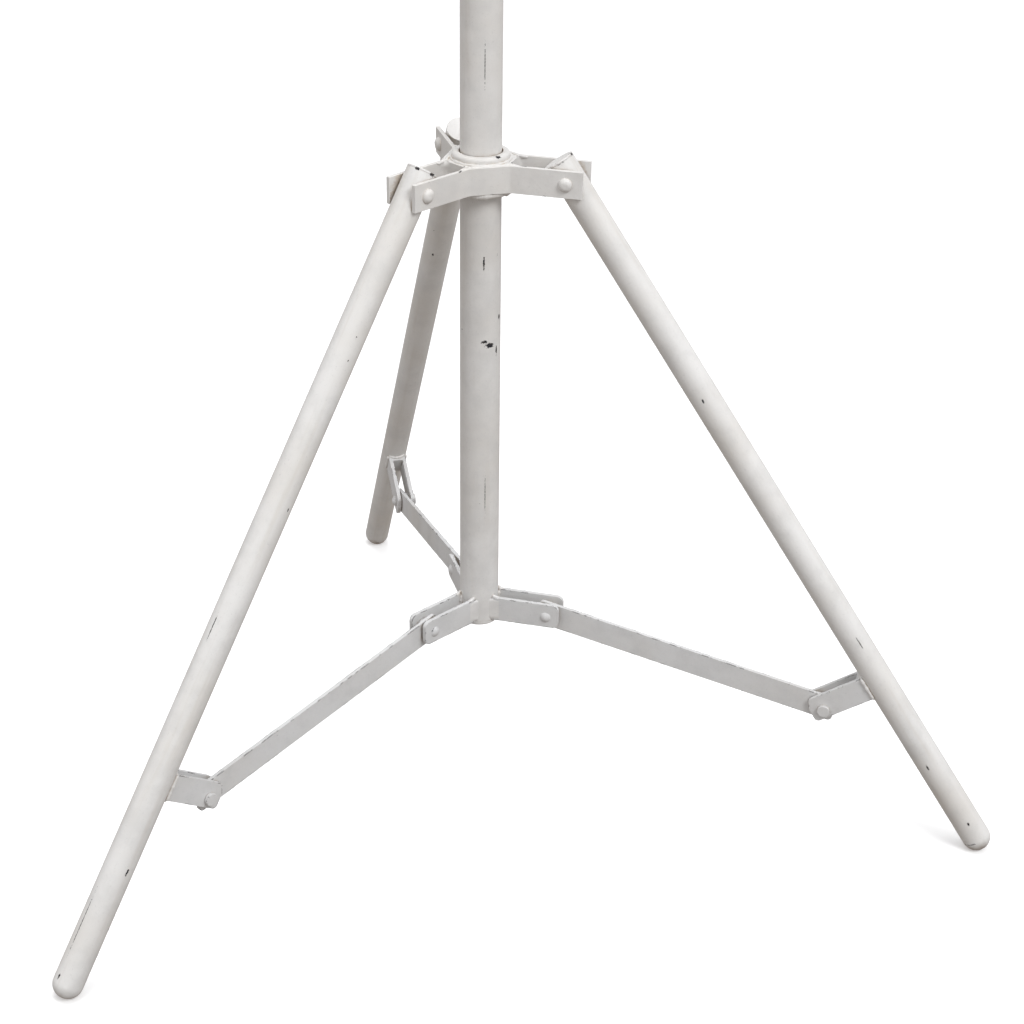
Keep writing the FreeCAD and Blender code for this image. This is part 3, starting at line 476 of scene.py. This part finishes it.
def weld(name, body, paths, radius, mat, closed=False):
    """One piece made of several beads."""
    bm = bmesh.new()
    for points in paths:
        add_bead(bm, points, radius, closed)
    return new_object(name, bm, mat, body)


def circle(radius, height, count=72):
    return [
        Vector((radius * cos(2 * pi * k / count), radius * sin(2 * pi * k / count), height))
        for k in range(count + 1)
    ]


def add_hammered_dome(bm, place, radius, rise, seed, flat=0.35, rings=9, sides=28):
    """Rivet head: a dome with a worn crown and hammer flats, standing on its origin along +Z."""
    last = None
    for i in range(rings + 1):
        share = i / rings
        angle = share * pi / 2
        across, height = radius * cos(angle), rise * min(1.0, sin(angle) * (1 + flat * 0.25))
        ring = []
        for j in range(sides):
            turn = 2 * pi * j / sides
            point = Vector((across * cos(turn), across * sin(turn), height))
            dent = noise.noise(point * 330 + Vector((seed * 3.1, seed, 0)))
            point *= 1 - 0.05 * abs(dent) - 0.02 * (1 + cos(turn * 2 + seed))
            if i == rings:
                point = Vector((0, 0, rise * 0.985))
            ring.append(point)
        if i == rings:
            tip = bm.verts.new(place @ ring[0])
            for j in range(sides):
                bm.faces.new((last[j], last[(j + 1) % sides], tip))
        else:
            current = [bm.verts.new(place @ point) for point in ring]
            if last is None:
                skirt = [bm.verts.new(place @ Vector((p.x, p.y, -0.2 * MM))) for p in ring]
                bm.faces.new(skirt)
                bridge(bm, skirt, current)
            else:
                bridge(bm, last, current)
            last = current


def add_revolved(bm, place, outline, sides=48):
    """Solid turned about +Z from an open outline of (radius, height) with both ends on the axis."""
    rings = []
    for radius, height in outline:
        if radius < 1e-7:
            rings.append([bm.verts.new(place @ Vector((0, 0, height)))])
            continue
        rings.append([
            bm.verts.new(place @ Vector((
                radius * cos(2 * pi * k / sides), radius * sin(2 * pi * k / sides), height)))
            for k in range(sides)
        ])
    for a, b in zip(rings, rings[1:]):
        for k in range(sides):
            corners = (a[k % len(a)], a[(k + 1) % len(a)], b[(k + 1) % len(b)], b[k % len(b)])
            bm.faces.new(tuple(dict.fromkeys(corners)))


# ---------------------------------------------------------------- the stand

def edge_bevel(names, width, segments=2):
    """Softens the edges of CAD nodes as their thick paint does."""
    for name in names:
        obj = NODES[name]
        weld_step = obj.modifiers.new("join", "WELD")
        weld_step.merge_threshold = 1e-6
        flat = obj.modifiers.new("flat", "DECIMATE")
        flat.decimate_type = "DISSOLVE"
        flat.angle_limit = radians(0.5)
        bevel = obj.modifiers.new("edge", "BEVEL")
        bevel.width = width
        bevel.segments = segments
        bevel.limit_method = "ANGLE"
        bevel.angle_limit = radians(40)
        bevel.harden_normals = True
        smooth(obj)


def smooth(obj):
    """Smooth shading from a modifier, so the CAD mesh stays as it is."""
    normal = obj.modifiers.new("shade", "WEIGHTED_NORMAL")
    normal.keep_sharp = True


def paint(name, mat):
    obj = NODES[name]
    if not obj.material_slots:
        obj.data.materials.append(mat)
    for slot in obj.material_slots:
        slot.material = mat


# ---------------------------------------------------------------- worn marks

def mark(place, azimuth, radius, tall, wide):
    """A worn mark on a tube: place along it, azimuth, the tube's radius, half sizes in millimetres."""
    turn = radians(azimuth)
    centre = (radius * cos(turn), radius * sin(turn), place * MM)
    return turn, centre, Vector((3, wide, tall)) * MM


def column_marks():
    """Scratches and chips of the column: height above the floor, azimuth, half height, half width."""
    rows = (
        (750, 265.4, 19, 0.30), (566, 265.2, 6.5, 0.8), (509, 322, 2.2, 1.5), (488, 268, 1.5, 3.0),
        (484, 284, 2.4, 4.0), (477, 308, 4.5, 0.8), (330, 271.5, 19, 0.30), (905, 262, 12, 0.4),
        (842, 118, 3, 2), (418, 62, 14, 0.5),
    )
    return [mark(height, azimuth, COLUMN_RADIUS, tall, wide) for height, azimuth, tall, wide in rows]


def leg_marks(name):
    """Scratches and chips of a leg: distance below the hub pivot, angle from outward, half sizes."""
    rows = {
        "left": (
            (420, 5, 11, 0.45), (651, 82, 3.5, 1.0), (706, -4, 26, 0.40), (759, -1, 2.5, 1.1),
            (706, 130, 3.0, 1.5), (731, 128, 2.2, 1.1), (300, 96, 2.0, 0.7),
            (-19, 88, 2.0, 2.4), (-18, 25, 1.5, 2.0),
        ),
        "right": (
            (-19, -5, 1.8, 1.6), (236, -84, 2, 0.8), (520, -60, 6, 0.45),
            (668, -90, 3, 0.8), (742, -70, 2.5, 1.3),
        ),
        "rear": ((160, 150, 2, 0.9), (640, 20, 9, 0.45), (735, -120, 2.5, 1.2)),
    }[name]
    return [mark(-down, turn, LEG_RADIUS, tall, wide) for down, turn, tall, wide in rows]


def hub_marks():
    """Chips on the hub: height above the floor, azimuth, distance from the axis and half sizes."""
    rows = (
        (667, 294, 25.5, 1.4, 2.6), (661, 232, 46, 2.0, 1.0), (660, 312, 46, 1.0, 2.2),
        (636, 300, 31, 2.2, 3.0), (659, 171, 92, 1.5, 3.0), (660, 104, 95, 2.6, 1.4),
    )
    return [mark(height, azimuth, reach * MM, tall, wide) for height, azimuth, reach, tall, wide in rows]


# ---------------------------------------------------------------- welds and rivets of the stand

def add_corner_fill(bm, turn, side, low, high, reach=7 * MM, levels=14, sides=10):
    """Hollow fillet in the upright corner between the core and the inner face of a strap's ear."""
    rings = []
    for i in range(levels + 1):
        share = i / levels
        z = low + share * (high - low)
        ends = max(0.0, 1 - min(share, 1 - share) * 7)
        size = reach * (1 - 0.45 * ends ** 2)
        ring = []
        for j in range(sides + 1):
            angle = pi / 2 * j / sides
            point = Vector((CORE_WEB + size * (1 - cos(angle)), EAR_OFFSET - size * (1 - sin(angle)), z))
            lump = 1.1 * MM * noise.noise(point * 150 + Vector((turn[0][0], turn[1][0], side)) * 7)
            point += Vector((lump, -lump, 0)) * sin(2 * angle)
            ring.append(bm.verts.new(turn @ Vector((point.x, side * point.y, point.z))))
        ring.append(bm.verts.new(turn @ Vector((CORE_WEB - 1 * MM, side * (EAR_OFFSET + 1 * MM), z))))
        rings.append(ring)
    for a, b in zip(rings, rings[1:]):
        bridge(bm, a, b)
    bm.faces.new(rings[0])
    bm.faces.new(rings[-1])


def hub_welds(mat):
    """Weld round the sleeve's lower end, in the core's corners and along the straps."""
    core_low, core_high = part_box("hub_core")
    sleeve_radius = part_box("hub_sleeve")[1].x
    lower = circle(sleeve_radius + 1.8 * MM, core_low.z - 1.8 * MM)
    upper = circle(sleeve_radius + 0.6 * MM, core_high.z + 0.1 * MM)
    weld("hub_lower_weld", "hub", [lower], 3.3 * MM, mat, True)
    weld("hub_upper_weld", "hub", [upper], 1.5 * MM, mat, True)
    edge_beads = []
    corners = bmesh.new()
    for azimuth in LEG_AZIMUTH.values():
        turn = around(azimuth)
        for side in (-1, 1):
            add_corner_fill(corners, turn, side, core_low.z + 0.3 * MM, core_high.z + 0.9 * MM)
            edge_beads.append([
                turn @ Vector((CORE_WEB - 6 * MM, side * (EAR_OFFSET + 1.5 * MM), core_high.z - 0.5 * MM)),
                turn @ Vector((CORE_WEB + 1 * MM, side * (EAR_OFFSET - 0.3 * MM), core_high.z - 0.3 * MM)),
                turn @ Vector((CORE_WEB + 9 * MM, side * (EAR_OFFSET - 0.2 * MM), core_high.z - 1.2 * MM)),
            ])
    new_object("hub_corner_welds", corners, mat, "hub")
    weld("hub_edge_welds", "hub", edge_beads, 1.5 * MM, mat)


def strap_seams(mat):
    """Weld between the flat middle of each strap and the core, over its upper and lower edges."""
    core_low, core_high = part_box("hub_core")
    half = 18 * MM
    for name, azimuth in GAP_AZIMUTH.items():
        turn = around(azimuth)
        paths = []
        for height in (core_high.z - 0.4 * MM, core_low.z + 0.4 * MM):
            paths.append([turn @ Vector((STRAP_INNER, across, height)) for across in (-half, half)])
        weld("strap_seam_" + name, "hub", paths, 1.5 * MM, mat)


def bracket_welds(name, azimuth, mat):
    """Weld along both flanges of a leg bracket and over its two ends."""
    low, high = BRACKET_LOW, BRACKET_HIGH
    reach = sqrt(LEG_RADIUS ** 2 - (BRACKET_HALF - 0.4 * MM) ** 2)
    paths = []
    for side in (-1, 1):
        paths.append([Vector((-reach - 1.2 * MM, side * (BRACKET_HALF + 0.3 * MM), z)) for z in (low, high)])
    for z in (low - 0.2 * MM, high + 0.2 * MM):
        ring = []
        for k in range(9):
            turn = pi + radians(-40 + 10 * k)
            ring.append(Vector((LEG_RADIUS * cos(turn), LEG_RADIUS * sin(turn), z)))
        paths.append(ring)
    place = leg_frame(azimuth, BRACKET_ALONG)
    weld("bracket_weld_" + name, "leg_" + name, [[place @ p for p in path] for path in paths], 1.9 * MM, mat)


def clevis_welds(name, azimuth, mat):
    """Small beads where the inner faces and the tops of the clevis plates meet the column."""
    low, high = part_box("clevis_rear")
    inner = CLEVIS_HALF - 4 * MM
    turn = around(azimuth)
    paths = []
    for side in (-1, 1):
        x = sqrt(COLUMN_RADIUS ** 2 - inner ** 2) + 0.6 * MM
        heights = (low.z + 1 * MM, high.z - 1 * MM)
        paths.append([turn @ Vector((x, side * (inner - 0.5 * MM), z)) for z in heights])
        middle_line = side * (CLEVIS_HALF - 2 * MM)
        start = sqrt(COLUMN_RADIUS ** 2 - middle_line ** 2)
        paths.append([
            turn @ Vector((start - 0.5 * MM, middle_line, high.z + 1.6 * MM)),
            turn @ Vector((start + 3.0 * MM, middle_line, high.z - 0.2 * MM)),
            turn @ Vector((start + 7.0 * MM, middle_line, high.z - 1.3 * MM)),
        ])
    weld("clevis_weld_" + name, "column", paths, 1.9 * MM, mat)


def foot_blend(name, azimuth, mat):
    """Filled weld between two neighbouring clevises: a hollow curve from plate to plate round the column."""
    low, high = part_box("clevis_rear")
    corner = CLEVIS_HALF / sin(pi / 3)
    hollow = 29 * MM
    centre = corner + hollow / sin(pi / 3)
    spread = pi / 6
    levels = 16
    sides = 26
    turn = around(azimuth)
    bm = bmesh.new()
    rings = []
    for i in range(levels + 1):
        share = i / levels
        z = low.z - 0.6 * MM + share * (high.z - low.z + 1.0 * MM)
        taper = max(0.0, 1 - min(share, 1 - share) * 9)
        sink = 3.5 * MM * taper ** 2
        ring = []
        for j in range(sides + 1):
            angle = pi - spread + 2 * spread * j / sides
            point = Vector((centre + (hollow + sink) * cos(angle), (hollow + sink) * sin(angle), z))
            lump = 0.5 * MM * noise.noise(point * 90) + 0.25 * MM * noise.noise(point * 260)
            end = sin(pi * j / sides)
            point.x += lump * end
            ring.append(bm.verts.new(turn @ point))
        ring.append(bm.verts.new(turn @ Vector((corner, 0, z))))
        rings.append(ring)
    for a, b in zip(rings, rings[1:]):
        bridge(bm, a, b)
    bm.faces.new(rings[0])
    bm.faces.new(rings[-1])
    return new_object("foot_blend_" + name, bm, mat, "column")


def rivet_heads(mat):
    """Hammered heads of the hub rivets, in place of the plain domes' skin."""
    radius, rise, face = RIVET_RADIUS, RIVET_RISE, EAR_OFFSET + BAR_THICK
    for index, (name, azimuth) in enumerate(LEG_AZIMUTH.items()):
        bm = bmesh.new()
        for side in (-1, 1):
            place = (
                around(azimuth) @ Matrix.Translation((HUB_PIVOT.y, side * face, HUB_PIVOT.z))
                @ Matrix.Rotation(-side * pi / 2, 4, "X")
            )
            add_hammered_dome(bm, place, radius, rise, index * 2 + side)
        shank = (
            around(azimuth) @ Matrix.Translation((HUB_PIVOT.y, -face, HUB_PIVOT.z))
            @ Matrix.Rotation(-pi / 2, 4, "X")
        )
        outline = ((0, 0), (PIN_RADIUS, 0), (PIN_RADIUS, 2 * face), (0, 2 * face))
        add_revolved(bm, shank, outline, 24)
        heads = new_object("hub_rivet_heads_" + name, bm, mat, "hub")
        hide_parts("hub_rivet_" + name)


# ---------------------------------------------------------------- lamp head

def head_frame(up=0.0, forward=0.0):
    """Frame of the lamp head: origin on the tilt axis, +Z forward, +Y up."""
    return (
        Matrix.Translation(TILT_AXIS) @ Matrix.Rotation(pi / 2, 4, "X")
        @ Matrix.Translation((0, up, forward))
    )


def add_ring(bm, place, outline, sides=72):
    """Ring turned about +Z from a closed outline of (radius, height)."""
    rings = [
        [
            bm.verts.new(place @ Vector((
                radius * cos(2 * pi * k / sides), radius * sin(2 * pi * k / sides), height)))
            for k in range(sides)
        ]
        for radius, height in outline
    ]
    for a, b in zip(rings, rings[1:] + rings[:1]):
        bridge(bm, a, b)


def add_slotted_screw(bm, place, radius=3.4 * MM, rise=2.0 * MM, turn=0.0):
    """Cheese-head screw with a rounded crown and a driver's slot."""
    screw = bmesh.new()
    steps = 7
    sunk, shoulder, slot_floor = -0.4 * MM, 0.55, 0.4
    crown = 0.45
    outline = [(0, sunk), (radius, sunk), (radius, rise * shoulder)]
    outline += [
        (radius * cos(pi / 2 * k / steps), rise * (shoulder + crown * sin(pi / 2 * k / steps)))
        for k in range(1, steps)
    ]
    outline.append((0, rise))
    add_revolved(screw, Matrix.Identity(4), outline, 32)
    half, wall = 0.42 * MM, 0.05 * MM
    for edge in (-half - wall, -half, half, half + wall):
        faces = screw.verts[:] + screw.edges[:] + screw.faces[:]
        bmesh.ops.bisect_plane(screw, geom=faces, plane_co=(edge, 0, 0), plane_no=(1, 0, 0))
    for vert in screw.verts:
        if abs(vert.co.x) < half + wall / 2 and vert.co.z > rise * slot_floor:
            vert.co.z = rise * slot_floor
    screw.transform(place @ Matrix.Rotation(turn, 4, "Z"))
    mesh = bpy.data.meshes.new("screw")
    screw.to_mesh(mesh)
    screw.free()
    bm.from_mesh(mesh)
    bpy.data.meshes.remove(mesh)


def nut_outline(radius, bore, height):
    """Section of a nut: chamfered outside, bored inside."""
    chamfer = 0.5 * MM
    return (
        (bore, 0), (radius, 0), (radius, height - chamfer),
        (radius - chamfer, height), (bore, height),
    )


def head_fittings(steel_mat, paint_mat):
    """Small fittings of the head: cap screws, the switch's nut and the neck ring."""
    back = TILT_AXIS.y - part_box("rear_cap")[1].y
    turned_back = Matrix.Rotation(pi, 4, "Y")
    bm = bmesh.new()
    reach = 44 * MM
    for k, angle in enumerate((30, 150, 270)):
        place = head_frame() @ Matrix.Translation(
            (reach * cos(radians(angle)), reach * sin(radians(angle)), back)) @ turned_back
        add_slotted_screw(bm, place, turn=1.1 * k)
    new_object("rear_cap_screws", bm, steel_mat, "head")

    bm = bmesh.new()
    switch = middle("switch_body")
    switch_radius = (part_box("switch_body")[1].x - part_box("switch_body")[0].x) / 2
    place = head_frame(switch.z - TILT_AXIS.z, back) @ turned_back
    add_ring(bm, place, nut_outline(switch_radius * 1.38, switch_radius, 3.2 * MM), 6)
    new_object("switch_nut", bm, steel_mat, "head")

    bm = bmesh.new()
    radius = (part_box("housing")[1].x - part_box("housing")[0].x) / 2
    start = TILT_AXIS.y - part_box("housing")[0].y - 21 * MM
    width, crown, points = 7 * MM, 1.7 * MM, 9
    outline = [(radius - 0.4 * MM, start), (radius - 0.4 * MM, start + width)]
    outline += [
        (radius + 0.3 * MM + crown * sin(pi * k / points), start + width * (1 - k / points))
        for k in range(points + 1)
    ]
    add_ring(bm, head_frame(), outline, 96)
    new_object("neck_ring", bm, paint_mat, "head")


def collar_bead(mat):
    """Rolled bead round the outside of the clamp collar, near its upper end."""
    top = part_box("clamp_collar")[1].z
    radius = -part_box("clamp_collar")[0].x
    bm = bmesh.new()
    points = 10
    outline = [(radius - 0.6 * MM, top - 8 * MM), (radius - 0.6 * MM, top - 3 * MM)]
    outline += [
        (radius - 0.2 * MM + 1.3 * MM * sin(pi * k / points), top - 3 * MM - 5 * MM * k / points)
        for k in range(points + 1)
    ]
    add_ring(bm, Matrix.Identity(4), outline, 96)
    new_object("collar_bead", bm, mat, "column")


# ---------------------------------------------------------------- build

EAR_OFFSET = 14.5 * MM
BAR_THICK = 4 * MM
STRAP_INNER = 28 * MM
CORE_WEB = 31 * MM
PIN_RADIUS = 4 * MM
RIVET_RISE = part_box("hub_rivet_rear")[1].x - EAR_OFFSET - BAR_THICK
RIVET_RADIUS = (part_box("hub_rivet_rear")[1].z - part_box("hub_rivet_rear")[0].z) / 2
BRACKET_LOW, BRACKET_HIGH = -9 * MM, 16 * MM

add_camera()
add_floor()
add_lights()

PAINT = (0.735, 0.725, 0.71, 1)
# painted shade: a darker, cooler grey than PAINT for the flat bars, standing for the dimmer light on their
# down-facing faces
BAR_SHADE_GREY = (0.67, 0.67, 0.67, 1)
STEEL = (0.56, 0.55, 0.53, 1)

upright = Matrix.Identity(4)
hub_paint = old_paint("hub_paint", PAINT, upright, hub_marks(), bare=0.61, dirt=1.1)
# the bars' paint is a darker copy of the white paint: painted shade, with the usual stains and chips
shaded_bar_paint = old_paint("shaded_bar_paint", BAR_SHADE_GREY, bare=0.53, dirt=0.8)
weld_paint = old_paint("weld_paint", PAINT, bare=0.66)
head_paint = old_paint("head_paint", PAINT, bare=0.62, dirt=0.5)
column_paint = old_paint("column_paint", PAINT, upright, column_marks(), streaks=0.14)
chrome = metal("dulled_chrome", (0.80, 0.80, 0.79, 1), 0.32, (1, 1, 0.03), 0.25)
steel = metal("bare_steel", STEEL, 0.34)
brass = metal("cap_brass", (0.62, 0.47, 0.24, 1), 0.28)
black = moulded("screw_black", (0.022, 0.022, 0.023, 1), 0.42, 300.0, 0.4)
bush_plastic = moulded("bush_plastic", (0.05, 0.05, 0.052, 1), 0.5)
porcelain = moulded("porcelain", (0.80, 0.78, 0.73, 1), 0.12, 60.0)
rubber = moulded("gland_rubber", (0.028, 0.027, 0.026, 1), 0.6, 400.0)


def frosted(name):
    """Pearl glass of the bulb: milky, with a soft sheen and faint mottling."""
    n = Nodes(name)
    cloud = n.ramp(n.noise(70.0, 4.0, 0.6), 0.35, 0.7)
    n.put(n.shader.inputs["Base Color"], n.mix(cloud, (0.93, 0.92, 0.90, 1), (0.88, 0.87, 0.85, 1)))
    n.put(n.shader.inputs["Roughness"], n.maths("ADD", 0.20, n.maths("MULTIPLY", cloud, 0.10)))
    n.shader.inputs["Subsurface Weight"].default_value = 0.3
    n.shader.inputs["Subsurface Scale"].default_value = 0.01
    n.put(n.shader.inputs["Normal"], n.bump(n.noise(600.0, 2.0), 0.08, 0.0002))
    return n.mat


pearl = frosted("bulb_glass")

for node_name in NODES:
    paint(node_name, head_paint)
STRAPS = ["hub_strap_" + name for name in GAP_AZIMUTH]
for node_name in ["hub_sleeve", "hub_core"] + STRAPS:
    paint(node_name, hub_paint)
for node_name in ("column_tube", "column_plug"):
    paint(node_name, column_paint)
for name, azimuth in LEG_AZIMUTH.items():
    leg_paint = old_paint("leg_paint_" + name, PAINT, leg_frame(azimuth, 0), leg_marks(name), streaks=0.18)
    for part in ("leg_tube_", "leg_cap_", "leg_foot_"):
        paint(part + name, leg_paint)
    for part in (
        "leg_bracket_", "bracket_pin_", "pin_washers_", "brace_", "brace_spool_", "clevis_", "clevis_rivet_",
    ):
        paint(part + name, shaded_bar_paint)
paint("mast_tube", chrome)
paint("mast_bush", bush_plastic)
for node_name in ("clamp_screw", "swivel_screw", "tilt_screw"):
    paint(node_name, black)
for node_name in ("pivot_bolt", "switch_body", "switch_lever"):
    paint(node_name, steel)
paint("bulb_cap", brass)
paint("bulb", pearl)
paint("lampholder", porcelain)
paint("cable_gland", rubber)

FLAT_BARS = ["hub_core"] + STRAPS + ["yoke"]
for name in LEG_AZIMUTH:
    FLAT_BARS += ["leg_bracket_" + name, "brace_" + name, "clevis_" + name]
edge_bevel(FLAT_BARS, 0.8 * MM, 3)
LEG_FITTINGS = [part + name for name in LEG_AZIMUTH for part in ("leg_cap_", "bracket_pin_", "pin_washers_")]
edge_bevel(LEG_FITTINGS, 0.5 * MM)
edge_bevel(["hub_sleeve", "clamp_collar", "swivel_socket", "lampholder", "cable_gland", "switch_body",
            "rear_cap", "tilt_bosses", "mast_tube", "column_tube"], 0.5 * MM)
edge_bevel(["clamp_screw", "swivel_screw", "tilt_screw"], 0.7 * MM)
hub_welds(weld_paint)
strap_seams(weld_paint)
rivet_heads(hub_paint)
for name, azimuth in LEG_AZIMUTH.items():
    bracket_welds(name, azimuth, weld_paint)
    clevis_welds(name, azimuth, weld_paint)
for name, azimuth in GAP_AZIMUTH.items():
    foot_blend(name, azimuth, weld_paint)

head_fittings(steel, head_paint)
collar_bead(head_paint)
